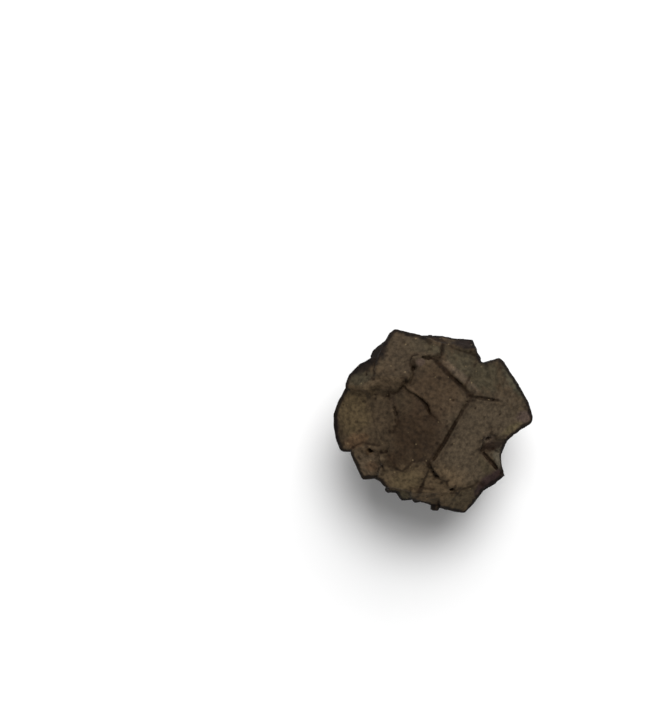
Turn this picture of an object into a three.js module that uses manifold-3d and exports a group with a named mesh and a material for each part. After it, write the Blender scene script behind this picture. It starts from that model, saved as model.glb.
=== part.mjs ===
// Pyrite concretion, 33 mm across: a weathered rosette of intergrown cubic crystals that grew as one solid.
// Millimetres, +Z up, origin under the middle of the stone on the flat crystal face that it rests on.
// Looking down on it, +X is to the right and +Y is up.

import * as THREE from 'three';
import { mergeVertices } from 'three/addons/utils/BufferGeometryUtils.js';
import Module from 'manifold-3d';

const wasm = await Module();
wasm.setup();

// Driving sizes of the whole stone.
const BODY_CENTRE = new THREE.Vector3(0, -0.3, 12.4);
const CORE_RADII = new THREE.Vector3(10.6, 10.2, 10.4);
const CORE_DETAIL = 2;
const CROWN_DEPTH = 12.5;
const CROWN_BEVEL = 0.3;
const FLANK_DEPTH = 9;
const FLANK_BEVEL = 0.45;
const OVERCUT = 1.5;
const WELD = 1e-5;

// The crystals of the crown, which face up. An outline is the edge of the crystal's face as seen from above.
// The face passes through "at" and falls by "tilt" degrees towards the direction "heading" (0 is +X).
const CROWN = {
  // The level floor of the hollow at the middle, in two layers.
  hollowFloor: {
    at: [-2, -2, 24], heading: 180, tilt: 4, bevel: 0,
    outline: [[-7.2, 5], [-3, 9.6], [1, 3], [2.6, -2.2], [1.8, -3.6], [0.3, -7], [-1.6, -7.2], [-3.4, -7.1],
      [-5.2, -8], [-6.8, -7.2], [-7.4, -5.6], [-7.1, -2], [-6.9, 1]],
  },
  hollowLayer: {
    at: [1, 4, 24.55], heading: -105, tilt: 3.5, bevel: 0.12,
    outline: [[-3.4, 10.6], [-0.6, 11], [5.9, 4.4], [5.8, 3.9], [4.6, 1.7], [3.3, -0.6], [2.5, -1.8],
      [1.5, -1.2], [0.6, 0.5], [-0.5, 1.2], [-0.9, 2.5], [-1.9, 3.4], [-3.1, 4.3], [-4.3, 5.2],
      [-4.9, 6.2], [-4.2, 8]],
  },
  // The large plate at the upper left, and the face that falls from it to the seam with the left plate.
  upperLeft: {
    at: [-3.5, 8, 25.5], heading: 107, tilt: 33,
    outline: [[-6.3, 15.3], [-1.8, 14.2], [1.3, 13], [0.9, 10.7], [-0.9, 10.5], [-2.5, 10.3], [-3.3, 9.9],
      [-3.5, 8.1], [-4.1, 7.1], [-5.2, 6.9], [-9.1, 7.3], [-9.8, 8.6], [-9.1, 10.9], [-8.1, 12.9],
      [-7.2, 14.6]],
  },
  upperLeftFall: {
    at: [-6, 6.9, 25.6], heading: -118, tilt: 40, depth: 5,
    outline: [[-9.3, 7.4], [-4.5, 6.9], [-4.9, 5.9], [-5.6, 5.2], [-6.8, 3.6], [-8.2, 3.9], [-9.9, 4.4],
      [-11.5, 5.3], [-11.3, 6.2], [-10.2, 6.9]],
  },
  // The flank crystals behind the upper left plate.
  upperLeftShoulder: {
    at: [-10.5, 7.5, 23.25], heading: 138, tilt: 40,
    outline: [[-14.6, 5.6], [-12.4, 5.6], [-11.2, 5.2], [-9, 6.6], [-8.6, 9.2], [-10.1, 10.7],
      [-11, 10.1], [-12.1, 9.6], [-13, 8.7], [-13.9, 7.8], [-14.4, 6.6]],
  },
  upperLeftWedge: {
    at: [-8.8, 11, 22], heading: 146, tilt: 60, bevel: 0.15,
    outline: [[-7.8, 13.2], [-8.3, 13], [-9.3, 12.3], [-10, 11.6], [-10.4, 10.6], [-9.9, 9.5], [-9.4, 9],
      [-8.4, 11]],
  },
  // The plate on the left.
  left: {
    at: [-6.5, 0, 24.05], heading: 184, tilt: 31, bevel: 0.35,
    outline: [[-14.5, 5.6], [-13, 5.6], [-11.4, 5.1], [-9.9, 4.5], [-8.2, 4], [-6.9, 3.8], [-6.3, 2],
      [-6, 0.2], [-6.5, -1.5], [-6.9, -3], [-7.2, -4.6], [-8.4, -5.2], [-9.6, -4.7], [-11.5, -4.6],
      [-13.4, -5], [-15.3, -5], [-16.1, -3], [-16.5, -0.6], [-16.4, 1.2], [-15.8, 3], [-15, 4.6]],
  },
  // The small corner crystal at the lower left.
  lowerLeft: {
    at: [-11, -7, 20.6], heading: -122, tilt: 37, bevel: 0.35,
    outline: [[-13.8, -5.1], [-12, -4.2], [-8.6, -4.4], [-8.5, -7], [-9.2, -9.4], [-10.3, -9.6],
      [-11.6, -9.7], [-12.4, -8.2]],
  },
  // The low plates along the lower edge, parted by cracks.
  lowerYellow: {
    at: [-3.4, -7.2, 24.1], heading: -100, tilt: 32,
    outline: [[-8.9, -6.2], [-7.6, -5.9], [-6.6, -6.8], [-5.2, -7.7], [-3.4, -6.8], [-1.6, -6.7],
      [-0.7, -7.4], [-1.4, -9.3], [-2.3, -12], [-3.9, -11.7], [-5.1, -11.3], [-6.6, -11], [-7.9, -10.9],
      [-9.2, -9.4], [-8.6, -7.7]],
  },
  lowerMiddle: {
    at: [0, -8.5, 22.95], heading: -84, tilt: 31,
    outline: [[-1.6, -6.6], [0, -6.2], [1.4, -8.6], [3.2, -10.2], [3, -11.6], [1.3, -12], [-2.1, -12.2],
      [-1.9, -9.8]],
  },
  lowerBand: {
    at: [0, -12, 20.7], heading: -82, tilt: 55,
    outline: [[-3.6, -11.4], [4.4, -11.2], [3.8, -14.9], [1.6, -14.5], [-0.3, -13.9], [-2.2, -13.3],
      [-3.7, -13]],
  },
  lowerLump: {
    at: [-5, -11.6, 19.4], heading: -108, tilt: 50, bevel: 0.4,
    outline: [[-7.2, -9.6], [-2.7, -10.4], [-3.4, -13.1], [-4.8, -13.2], [-5.7, -12.7], [-6.2, -11.9],
      [-7.2, -11.9], [-8.2, -10.6]],
  },
  // The crystal at the lower right, under the edge of the large plate.
  lowerRightFoot: {
    at: [5, -12, 19.5], heading: -60, tilt: 46, bevel: 0.45,
    outline: [[2.6, -11.7], [3.6, -11.2], [5.6, -10.7], [7.6, -10.2], [8.8, -11], [8.1, -12],
      [6.8, -13.7], [5.3, -15.3], [3.6, -15.1], [1.5, -14.5], [1.2, -13]],
  },
  // The large plate on the right.
  right: {
    at: [2.6, -1.5, 24.75], heading: -28, tilt: 33,
    outline: [[5.8, 3.9], [3.4, -0.5], [1.9, -3.3], [-0.3, -6.7], [0.4, -8.4], [1, -9.3], [2.3, -9.8],
      [2.7, -11], [3.5, -11.3], [7.6, -10.5], [9.4, -10.8], [11.9, -9], [11, -8.2], [9.5, -6.5],
      [8, -4.9], [8.2, -3.1], [9.4, -2.1], [10.6, -3.1], [12.3, -3.1], [14.3, -1.6], [16.3, -0.4],
      [16.5, 0.6], [16.1, 2], [15.6, 3.4], [10.4, 3.6]],
  },
  // The slab that closes the notch at the lower right, steep and pale.
  rightNotch: {
    at: [8.1, -4.9, 20.5], heading: 10, tilt: 50, bevel: 0.12,
    outline: [[8, -4.8], [9.2, -4.7], [10.6, -4.1], [12, -3.6], [11.2, -5.6], [11.4, -7.4], [11.9, -8.9],
      [10.9, -8.1], [9.6, -6.6]],
  },
  // The dark face over it, where a corner of the large plate broke away.
  rightBreak: {
    at: [9.2, -2.6, 20.3], heading: -62, tilt: 44, bevel: 0.15,
    outline: [[7.8, -5], [8, -3], [9.4, -1.9], [10.8, -2.9], [12.4, -2.8], [11.5, -4.8], [9.4, -5.4]],
  },
  // The two crystals at the upper right.
  upperRight: {
    at: [6.1, 4.1, 24.5], heading: 15, tilt: 33,
    outline: [[5.1, 5.9], [6.1, 4.1], [10.4, 3.2], [15.9, 2.8], [14.4, 5.6], [12.6, 8.4], [11.7, 9.8],
      [11, 10.4], [9.9, 10.1], [8.6, 9.6], [7.2, 10], [6, 8]],
  },
  upperMiddle: {
    at: [3.2, 6.8, 25], heading: 62, tilt: 28,
    outline: [[-0.4, 10.1], [0.5, 9.3], [2, 8.2], [3.2, 7], [4.2, 6.2], [5.1, 5.9], [6.5, 7.6],
      [7.6, 9.4], [7.9, 10.5], [7.1, 11.7], [6.3, 12.4], [4.2, 12.3], [3.2, 12.5], [1.2, 13.2], [-1, 13.5]],
  },
  upperRim: {
    at: [3, 12.4, 22.4], heading: 84, tilt: 56, bevel: 0.2,
    outline: [[-2.4, 13.3], [-2, 14.2], [1.5, 14.1], [3.5, 13.7], [6.5, 13.5], [6.9, 12.4], [7.3, 11.4],
      [6.2, 11.8], [4.2, 12], [1.4, 12.5], [-0.5, 13]],
  },
};

// The crystals of the flanks and the underside, as square-ended blocks that grow out of the middle.
// "azimuth" and "elevation" point from the middle to the block's face, "reach" is how far out the face lies.
const FLANKS = [
  { azimuth: 13, elevation: -18, reach: 12.4, wide: 8, high: 9.4, roll: 10 },
  { azimuth: 48, elevation: -12, reach: 11.6, wide: 10, high: 11, roll: -12 },
  { azimuth: 84, elevation: -28, reach: 11.9, wide: 10.4, high: 10, roll: 14 },
  { azimuth: 114, elevation: -8, reach: 13, wide: 10.4, high: 11, roll: 8 },
  { azimuth: 150, elevation: -30, reach: 12.2, wide: 11, high: 10.4, roll: -16 },
  { azimuth: 180, elevation: -10, reach: 13.6, wide: 10, high: 11.4, roll: 11 },
  { azimuth: 215, elevation: -34, reach: 11.8, wide: 10, high: 10.6, roll: -8 },
  { azimuth: 243, elevation: -6, reach: 11.8, wide: 9.4, high: 11, roll: 15 },
  { azimuth: 272, elevation: -32, reach: 11.7, wide: 10, high: 10, roll: -14 },
  { azimuth: 303, elevation: -10, reach: 12.9, wide: 9, high: 11.2, roll: 7 },
  { azimuth: 336, elevation: -36, reach: 11, wide: 9.6, high: 10, roll: 18 },
  { azimuth: 24, elevation: -50, reach: 12.6, wide: 8.6, high: 6.4, roll: -6 },
  { azimuth: 78, elevation: -54, reach: 12.7, wide: 8.2, high: 6, roll: 7 },
  { azimuth: 133, elevation: -48, reach: 12.4, wide: 9.2, high: 6.8, roll: -4 },
  { azimuth: 190, elevation: -52, reach: 12.7, wide: 8.8, high: 6.2, roll: 5 },
  { azimuth: 247, elevation: -47, reach: 12.3, wide: 9.2, high: 6.8, roll: -7 },
  { azimuth: 306, elevation: -52, reach: 12.6, wide: 8.8, high: 6.4, roll: 4 },
];
// The crystal whose flat face the stone rests on.
const FOOT = { at: [0.2, -0.2, 0], high: 11, wide: 9.6, roll: 22, depth: 8 };

// Younger crystals between them, spread over the flanks in a spiral and turned at random from a fixed seed.
const YOUNG = {
  seed: 7,
  count: 46,
  reach: [11.4, 12.3],
  size: [3.2, 6],
  elevation: [-64, 4],
  bevel: 0.22,
  stretch: [0.8, 1.25],
  roll: [-45, 45],
  lean: [-20, 20],
  clearance: 0.4,
};

// Steps of growth: a thin plate that covers one corner of each flank crystal's face.
const TERRACE = { cover: [0.5, 0.82], rise: [0.14, 0.34], seed: 21 };

// Cracks and open seams, as lines over a face. They keep their width along the middle and narrow at both
// ends to a share of it, the tip.
const CRACK_TIP = 0.6;
const CRACK_FULLNESS = 1.8;
const CRACKS = [
  { on: 'right', width: 0.5, depth: 0.45, line: [[5.6, 4.1], [7.2, 3.9], [8.8, 3.7], [10.9, 3.2]] },
  {
    on: 'hollowLayer', width: 0.55, depth: 0.8,
    line: [[-3.4, 4.6], [-2.2, 3.6], [-1.2, 2.8], [-0.9, 1.9], [-0.6, 0.9]],
  },
  { on: 'hollowLayer', width: 0.55, depth: 0.45, line: [[-0.6, 10.6], [2, 8.1], [5, 5.4], [6.4, 3.5]] },
  { on: 'hollowLayer', width: 0.55, depth: 0.45, line: [[6.3, 4.6], [4.4, 1.3], [3.4, -0.5], [2.2, -2.6]] },
  {
    on: 'hollowFloor', width: 0.55, depth: 0.4,
    line: [[3.4, -0.5], [1.9, -3.2], [0.6, -5.4], [-0.9, -7.4]],
  },
  { on: 'hollowFloor', width: 0.5, depth: 0.45, line: [[-6.8, 3.4], [-6.3, 1.9], [-6, 0.6], [-6.3, -0.8]] },
  {
    on: 'lowerYellow', width: 0.36, depth: 0.6,
    line: [[-1.7, -9.4], [-2, -10.4], [-2.4, -11.4], [-2.6, -12.4]],
  },
  { on: 'lowerMiddle', width: 0.45, depth: 0.6, line: [[-1.1, -6.6], [-0.2, -7.9], [0.5, -9], [1.3, -9.9]] },
  { on: 'right', width: 0.6, depth: 0.9, line: [[7.6, -4.4], [8.8, -5.8], [10.1, -7.2], [11.6, -9]] },
  { on: 'lowerLeft', width: 0.4, depth: 0.5, line: [[-11.6, -4.9], [-10.2, -4.9], [-9, -5.4]] },
  { on: 'upperLeft', width: 0.5, depth: 0.5, line: [[0.8, 10.9], [-0.8, 10.3], [-2.2, 10.4]] },
];

// Broken corners: small three-sided pits, each the cast of a lost grain and turned on from the last.
const PIT_TURN = 1.1;
const PIT_RADIUS = 0.6;
const PITS = [
  { on: 'left', at: [-10.2, -4.7], size: 1.05, depth: 1 },
  { on: 'lowerYellow', at: [-8.4, -7.5], size: 0.9, depth: 0.9 },
  { on: 'right', at: [0.9, -9.1], size: 0.9, depth: 1.2 },
  { on: 'right', at: [3.3, -11.2], size: 1, depth: 1.3 },
  { on: 'upperLeft', at: [-3.4, 8.9], size: 0.9, depth: 1.3 },
  { on: 'upperLeft', at: [-4.7, 6.6], size: 0.9, depth: 1.2 },
  { on: 'rightBreak', at: [8.9, -2.9], size: 1.1, depth: 0.8 },
];

// Grains: small cubes half sunk in the rim, where the outline shows them.
const GRAIN_SEED = 7;
const RIM_GRAINS = [
  { at: [0.3, -13.95, 17.7], size: 1.25 },
  { at: [-4.7, -12.2, 17.6], size: 1.2 },
  { at: [-7.3, -11.1, 17.8], size: 1 },
];

/** Turns a closed three.js geometry into a manifold solid. */
function toSolid(geometry) {
  const bare = geometry.clone();
  bare.deleteAttribute('normal');
  bare.deleteAttribute('uv');
  const merged = mergeVertices(bare, WELD);
  return new wasm.Manifold(new wasm.Mesh({
    numProp: 3,
    vertProperties: new Float32Array(merged.attributes.position.array),
    triVerts: new Uint32Array(merged.index.array),
  }));
}

/** Turns a manifold solid back into a three.js geometry. */
function toGeometry(solid) {
  const mesh = solid.getMesh();
  const geometry = new THREE.BufferGeometry();
  geometry.setAttribute('position', new THREE.BufferAttribute(mesh.vertProperties.slice(), 3));
  geometry.setIndex(new THREE.BufferAttribute(mesh.triVerts.slice(), 1));
  geometry.computeVertexNormals();
  return geometry;
}

/** The frame of a crystal face: its origin at "at" and its +Z along the outward normal. */
function faceFrame({ at, heading, tilt }) {
  const turn = THREE.MathUtils.degToRad(heading);
  const lean = THREE.MathUtils.degToRad(tilt);
  return new THREE.Matrix4()
    .makeTranslation(...at)
    .multiply(new THREE.Matrix4().makeRotationZ(turn))
    .multiply(new THREE.Matrix4().makeRotationY(lean));
}

/** The point of a face that lies straight under or over (x, y), in the face's own two coordinates. */
function ontoFace(face, frame, [x, y]) {
  const turn = THREE.MathUtils.degToRad(face.heading);
  const fall = Math.tan(THREE.MathUtils.degToRad(face.tilt));
  const along = (x - face.at[0]) * Math.cos(turn) + (y - face.at[1]) * Math.sin(turn);
  const point = new THREE.Vector3(x, y, face.at[2] - fall * along);
  point.applyMatrix4(frame.clone().invert());
  return new THREE.Vector2(point.x, point.y);
}

/** A straight prism over a flat shape, with its top at 0 and its edges bevelled. */
function prism(shape, depth, bevel) {
  const geometry = new THREE.ExtrudeGeometry(shape, {
    depth: depth - 2 * bevel,
    bevelEnabled: bevel > 0,
    bevelThickness: bevel,
    bevelSize: bevel,
    bevelOffset: -bevel,
    bevelSegments: 1,
  });
  return geometry.translate(0, 0, bevel - depth);
}

/** A prism whose top lies "rise" over a face and whose foot lies "depth" under it. */
function facePrism(face, outline, rise, depth, bevel = 0) {
  const frame = faceFrame(face);
  const shape = new THREE.Shape(outline.map((point) => ontoFace(face, frame, point)));
  return toSolid(prism(shape, rise + depth, bevel).translate(0, 0, rise).applyMatrix4(frame));
}

/** A square-ended block, its outer face centred on the frame's origin. */
function block(high, wide, depth, bevel, frame) {
  const corners = [[-1, -1], [1, -1], [1, 1], [-1, 1]];
  const shape = new THREE.Shape(corners.map(([x, y]) => new THREE.Vector2(x * high / 2, y * wide / 2)));
  return toSolid(prism(shape, depth, bevel).applyMatrix4(frame));
}

/** The frame of a block that points from the middle of the stone to an azimuth and elevation. */
function radialFrame({ azimuth, elevation, reach, roll }) {
  const turn = THREE.MathUtils.degToRad(azimuth);
  const rise = THREE.MathUtils.degToRad(elevation);
  const flat = Math.cos(rise);
  const outward = new THREE.Vector3(flat * Math.cos(turn), flat * Math.sin(turn), Math.sin(rise));
  const at = BODY_CENTRE.clone().addScaledVector(outward, reach).toArray();
  return faceFrame({ at, heading: azimuth, tilt: 90 - elevation })
    .multiply(new THREE.Matrix4().makeRotationZ(THREE.MathUtils.degToRad(roll)));
}

/** The outline of a crack: a line given a width, narrower at both ends. */
function crackOutline(line, width) {
  const sides = [[], []];
  line.forEach(([x, y], i) => {
    const before = line[Math.max(i - 1, 0)];
    const after = line[Math.min(i + 1, line.length - 1)];
    const along = new THREE.Vector2(after[0] - before[0], after[1] - before[1]).normalize();
    const open = CRACK_FULLNESS * Math.sin(Math.PI * i / (line.length - 1));
    const half = THREE.MathUtils.clamp(open, CRACK_TIP, 1) * width / 2;
    sides[0].push([x - along.y * half, y + along.x * half]);
    sides[1].unshift([x + along.y * half, y - along.x * half]);
  });
  return [...sides[0], ...sides[1]];
}

/** A small random generator with a fixed seed, so that every build is the same. */
function seededRandom(seed) {
  let state = seed >>> 0;
  return () => {
    state = (state + 0x6d2b79f5) >>> 0;
    let mixed = Math.imul(state ^ (state >>> 15), state | 1);
    mixed ^= mixed + Math.imul(mixed ^ (mixed >>> 7), mixed | 61);
    return ((mixed ^ (mixed >>> 14)) >>> 0) / 4294967296;
  };
}

/** A cube of a given size at a given place, at a random turn. */
function grain(at, size, random) {
  const turn = new THREE.Euler(random() * Math.PI, random() * Math.PI, random() * Math.PI);
  const geometry = new THREE.BoxGeometry(size, size, size);
  geometry.applyMatrix4(new THREE.Matrix4().makeRotationFromEuler(turn));
  geometry.translate(...at);
  return toSolid(geometry);
}

/** The rounded heart of the stone, which closes the gaps between the crystals. */
function core() {
  const geometry = new THREE.IcosahedronGeometry(1, CORE_DETAIL);
  geometry.scale(CORE_RADII.x, CORE_RADII.y, CORE_RADII.z);
  geometry.translate(BODY_CENTRE.x, BODY_CENTRE.y, BODY_CENTRE.z);
  return toSolid(geometry);
}

/** The crystals of the crown. */
function crownSolids() {
  return Object.values(CROWN).map((face) => (
    facePrism(face, face.outline, 0, face.depth ?? CROWN_DEPTH, face.bevel ?? CROWN_BEVEL)
  ));
}

/** The flank crystals, each with a terrace on one corner, and the one whose flat face the stone rests on. */
function flankSolids() {
  const random = seededRandom(TERRACE.seed);
  const between = ([low, high]) => THREE.MathUtils.lerp(low, high, random());
  const solids = [];
  for (const crystal of FLANKS) {
    const frame = radialFrame(crystal);
    solids.push(block(crystal.high, crystal.wide, FLANK_DEPTH, FLANK_BEVEL, frame));
    const rise = between(TERRACE.rise);
    const high = crystal.high * between(TERRACE.cover);
    const wide = crystal.wide * between(TERRACE.cover);
    const side = random() < 0.5 ? -1 : 1;
    const corner = new THREE.Matrix4()
      .makeTranslation((high - crystal.high) / 2, side * (crystal.wide - wide) / 2, rise);
    solids.push(block(high, wide, FLANK_DEPTH, FLANK_BEVEL, frame.multiply(corner)));
  }
  const downward = faceFrame({ at: FOOT.at, heading: FOOT.roll, tilt: 180 });
  solids.push(block(FOOT.high, FOOT.wide, FOOT.depth, FLANK_BEVEL, downward));
  return solids;
}

/** The younger crystals of the flanks. Those that would touch the ground are left out. */
function youngSolids() {
  const random = seededRandom(YOUNG.seed);
  const between = ([low, high]) => THREE.MathUtils.lerp(low, high, random());
  const goldenAngle = 180 * (3 - Math.sqrt(5));
  const solids = [];
  for (let i = 0; i < YOUNG.count; i += 1) {
    const frame = radialFrame({
      azimuth: i * goldenAngle,
      elevation: THREE.MathUtils.lerp(...YOUNG.elevation, (i + 0.5) / YOUNG.count),
      reach: between(YOUNG.reach),
      roll: between(YOUNG.roll),
    });
    const lean = () => THREE.MathUtils.degToRad(between(YOUNG.lean));
    frame.multiply(new THREE.Matrix4().makeRotationFromEuler(new THREE.Euler(lean(), lean(), 0)));
    const size = between(YOUNG.size);
    const solid = block(size, size * between(YOUNG.stretch), FLANK_DEPTH, YOUNG.bevel, frame);
    if (solid.boundingBox().min[2] > YOUNG.clearance) {
      solids.push(solid);
    }
  }
  return solids;
}

/** Small cubes in the rim. */
function grainSolids() {
  const random = seededRandom(GRAIN_SEED);
  return RIM_GRAINS.map(({ at, size }) => grain(at, size, random));
}

/** What is missing from the faces: open cracks and the casts of lost grains. */
function cutSolids() {
  const cracks = CRACKS.map(({ on, line, width, depth }) => (
    facePrism(CROWN[on], crackOutline(line, width), OVERCUT, depth)
  ));
  const pits = PITS.map(({ on, at, size, depth }, i) => {
    const outline = [0, 1, 2].map((corner) => {
      const turn = i * PIT_TURN + corner * (2 * Math.PI / 3);
      return [at[0] + PIT_RADIUS * size * Math.cos(turn), at[1] + PIT_RADIUS * size * Math.sin(turn)];
    });
    return facePrism(CROWN[on], outline, OVERCUT, depth);
  });
  return [...cracks, ...pits];
}

/** The whole stone as one solid, moved so that it stands centred on the origin. */
function concretionSolid() {
  const grown = [core(), ...crownSolids(), ...flankSolids(), ...youngSolids(), ...grainSolids()]
    .reduce((all, solid) => all.add(solid));
  const worn = cutSolids().reduce((all, cut) => all.subtract(cut), grown);
  const largest = worn.decompose().reduce((best, piece) => (piece.volume() > best.volume() ? piece : best));
  const { min, max } = largest.boundingBox();
  return largest.translate([-(min[0] + max[0]) / 2, -(min[1] + max[1]) / 2, -min[2]]);
}

const stone = new THREE.MeshStandardMaterial({ color: 0x4a3f33, roughness: 0.62, metalness: 0.35 });
const concretion = new THREE.Mesh(toGeometry(concretionSolid()), stone);
concretion.name = 'concretion';

const group = new THREE.Group();
group.add(concretion);

export default group;
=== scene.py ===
"""Dresses the pyrite concretion: wears its crystals, colours its weathered skin and lights it from above."""

import logging
import math
from dataclasses import dataclass, field
from enum import Enum
from typing import Any, Sequence

import bmesh
import bpy
import numpy as np
from mathutils import Matrix, Vector
from mathutils.bvhtree import BVHTree
from mathutils.kdtree import KDTree


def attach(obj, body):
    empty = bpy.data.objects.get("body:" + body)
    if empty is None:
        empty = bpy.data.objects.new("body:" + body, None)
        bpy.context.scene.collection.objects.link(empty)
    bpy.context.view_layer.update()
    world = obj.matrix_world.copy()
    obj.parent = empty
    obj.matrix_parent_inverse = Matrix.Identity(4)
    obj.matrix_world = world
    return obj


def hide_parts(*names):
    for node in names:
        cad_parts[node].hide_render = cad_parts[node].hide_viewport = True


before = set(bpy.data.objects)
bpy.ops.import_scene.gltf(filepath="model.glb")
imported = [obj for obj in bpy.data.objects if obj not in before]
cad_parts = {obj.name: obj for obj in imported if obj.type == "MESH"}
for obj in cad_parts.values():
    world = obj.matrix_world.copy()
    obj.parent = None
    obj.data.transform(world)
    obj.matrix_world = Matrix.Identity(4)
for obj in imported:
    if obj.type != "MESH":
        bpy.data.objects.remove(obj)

NODE = "concretion"
BODY = "root"
MM = 0.001
METRES_TO_MM = 1000.0

log = logging.getLogger("concretion")


# Small helpers


def linear(hex_colour: str) -> tuple[float, float, float, float]:
    """Turns an sRGB hex colour into linear red, green, blue and alpha.

    Args:
        hex_colour: Six hex digits after a hash, such as "#4a3f33".

    Returns:
        The linear colour with an alpha of 1.
    """
    channels = [int(hex_colour[i : i + 2], 16) / 255 for i in (1, 3, 5)]
    curve = [c / 12.92 if c <= 0.04045 else ((c + 0.055) / 1.055) ** 2.4 for c in channels]
    return (curve[0], curve[1], curve[2], 1.0)


def add_node(
    tree: bpy.types.NodeTree, kind: str, sockets: dict[Any, Any] | None = None, **settings: Any
) -> Any:
    """Adds a node with its settings, socket values and links.

    Args:
        tree: The node tree that gets the node.
        kind: The node's type name.
        sockets: What goes into each input, by name or number: a value, or an output socket to link.
        **settings: Properties of the node itself.

    Returns:
        The new node.
    """
    node = tree.nodes.new(kind)
    for name, value in settings.items():
        setattr(node, name, value)
    for key, value in (sockets or {}).items():
        if isinstance(value, bpy.types.NodeSocket):
            tree.links.new(value, node.inputs[key])
        else:
            node.inputs[key].default_value = value
    return node


def maths(tree: bpy.types.NodeTree, operation: str, *values: Any) -> Any:
    """Adds a Math node and returns its output.

    Args:
        tree: The node tree.
        operation: The Math node's operation.
        *values: Numbers or output sockets, in order.

    Returns:
        The output socket.
    """
    sockets = dict(enumerate(values))
    return add_node(tree, "ShaderNodeMath", sockets, operation=operation).outputs[0]


# Mesh measuring


@dataclass
class Fabric:
    """The points and edges of a mesh as arrays, to smooth and measure it."""

    points: np.ndarray
    edges: np.ndarray

    @classmethod
    def of(cls, mesh: bpy.types.Mesh) -> "Fabric":
        """Reads a mesh.

        Args:
            mesh: The mesh to read.

        Returns:
            Its points and edges.
        """
        points = np.zeros(len(mesh.vertices) * 3)
        mesh.vertices.foreach_get("co", points)
        edges = np.zeros(len(mesh.edges) * 2, np.int64)
        mesh.edges.foreach_get("vertices", edges)
        return cls(points.reshape(-1, 3), edges.reshape(-1, 2))

    def averaged(self, values: np.ndarray, rounds: int, share: float = 0.6) -> np.ndarray:
        """Averages values over neighbouring points.

        Args:
            values: One row for each point.
            rounds: How many times to average.
            share: How far each value moves to its neighbours' mean.

        Returns:
            The averaged values.
        """
        count = len(self.points)
        ends = np.concatenate([self.edges[:, 0], self.edges[:, 1]])
        others = np.concatenate([self.edges[:, 1], self.edges[:, 0]])
        degree = np.maximum(np.bincount(ends, minlength=count), 1)
        result = values.astype(float).reshape(count, -1)
        for _ in range(rounds):
            mean = np.stack(
                [np.bincount(ends, weights=column[others], minlength=count) for column in result.T], axis=1
            )
            result = result + share * (mean / degree[:, None] - result)
        return result.reshape(values.shape)

    def hollowness(self, normals: np.ndarray, rounds: int) -> np.ndarray:
        """Measures how far each point lies under (above zero) or over (below zero) the smoothed surface.

        Args:
            normals: The outward normal of each point.
            rounds: How far the surface is smoothed before the comparison.

        Returns:
            The depth of each point, in the mesh's own unit.
        """
        return np.einsum("ij,ij->i", self.averaged(self.points, rounds) - self.points, normals)


def vertex_normals(mesh: bpy.types.Mesh) -> np.ndarray:
    """Reads the outward normal of each point of a mesh.

    Args:
        mesh: The mesh to read.

    Returns:
        One normal in each row.
    """
    normals = np.zeros(len(mesh.vertices) * 3, np.float32)
    mesh.vertices.foreach_get("normal", normals)
    return normals.reshape(-1, 3).astype(float)


def ramp(values: np.ndarray, low: float, high: float) -> np.ndarray:
    """Eases values from 0 at the low limit to 1 at the high limit.

    Args:
        values: The values to ease.
        low: Where they count as 0.
        high: Where they count as 1.

    Returns:
        The eased values.
    """
    share = np.clip((values - low) / (high - low), 0.0, 1.0)
    return share * share * (3 - 2 * share)


def keep_attribute(mesh: bpy.types.Mesh, name: str, values: np.ndarray) -> None:
    """Stores one number for each point of a mesh.

    Args:
        mesh: The mesh that gets the attribute.
        name: The attribute's name.
        values: One number for each point.
    """
    attribute = mesh.attributes.get(name) or mesh.attributes.new(name, "FLOAT", "POINT")
    attribute.data.foreach_set("value", values.astype(np.float32))


class EdgeKind(Enum):
    """Which of the solid's edges are meant. The value names the distance from them on the mesh."""

    VALLEY = "valley_distance"
    BROW = "brow_distance"


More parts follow.
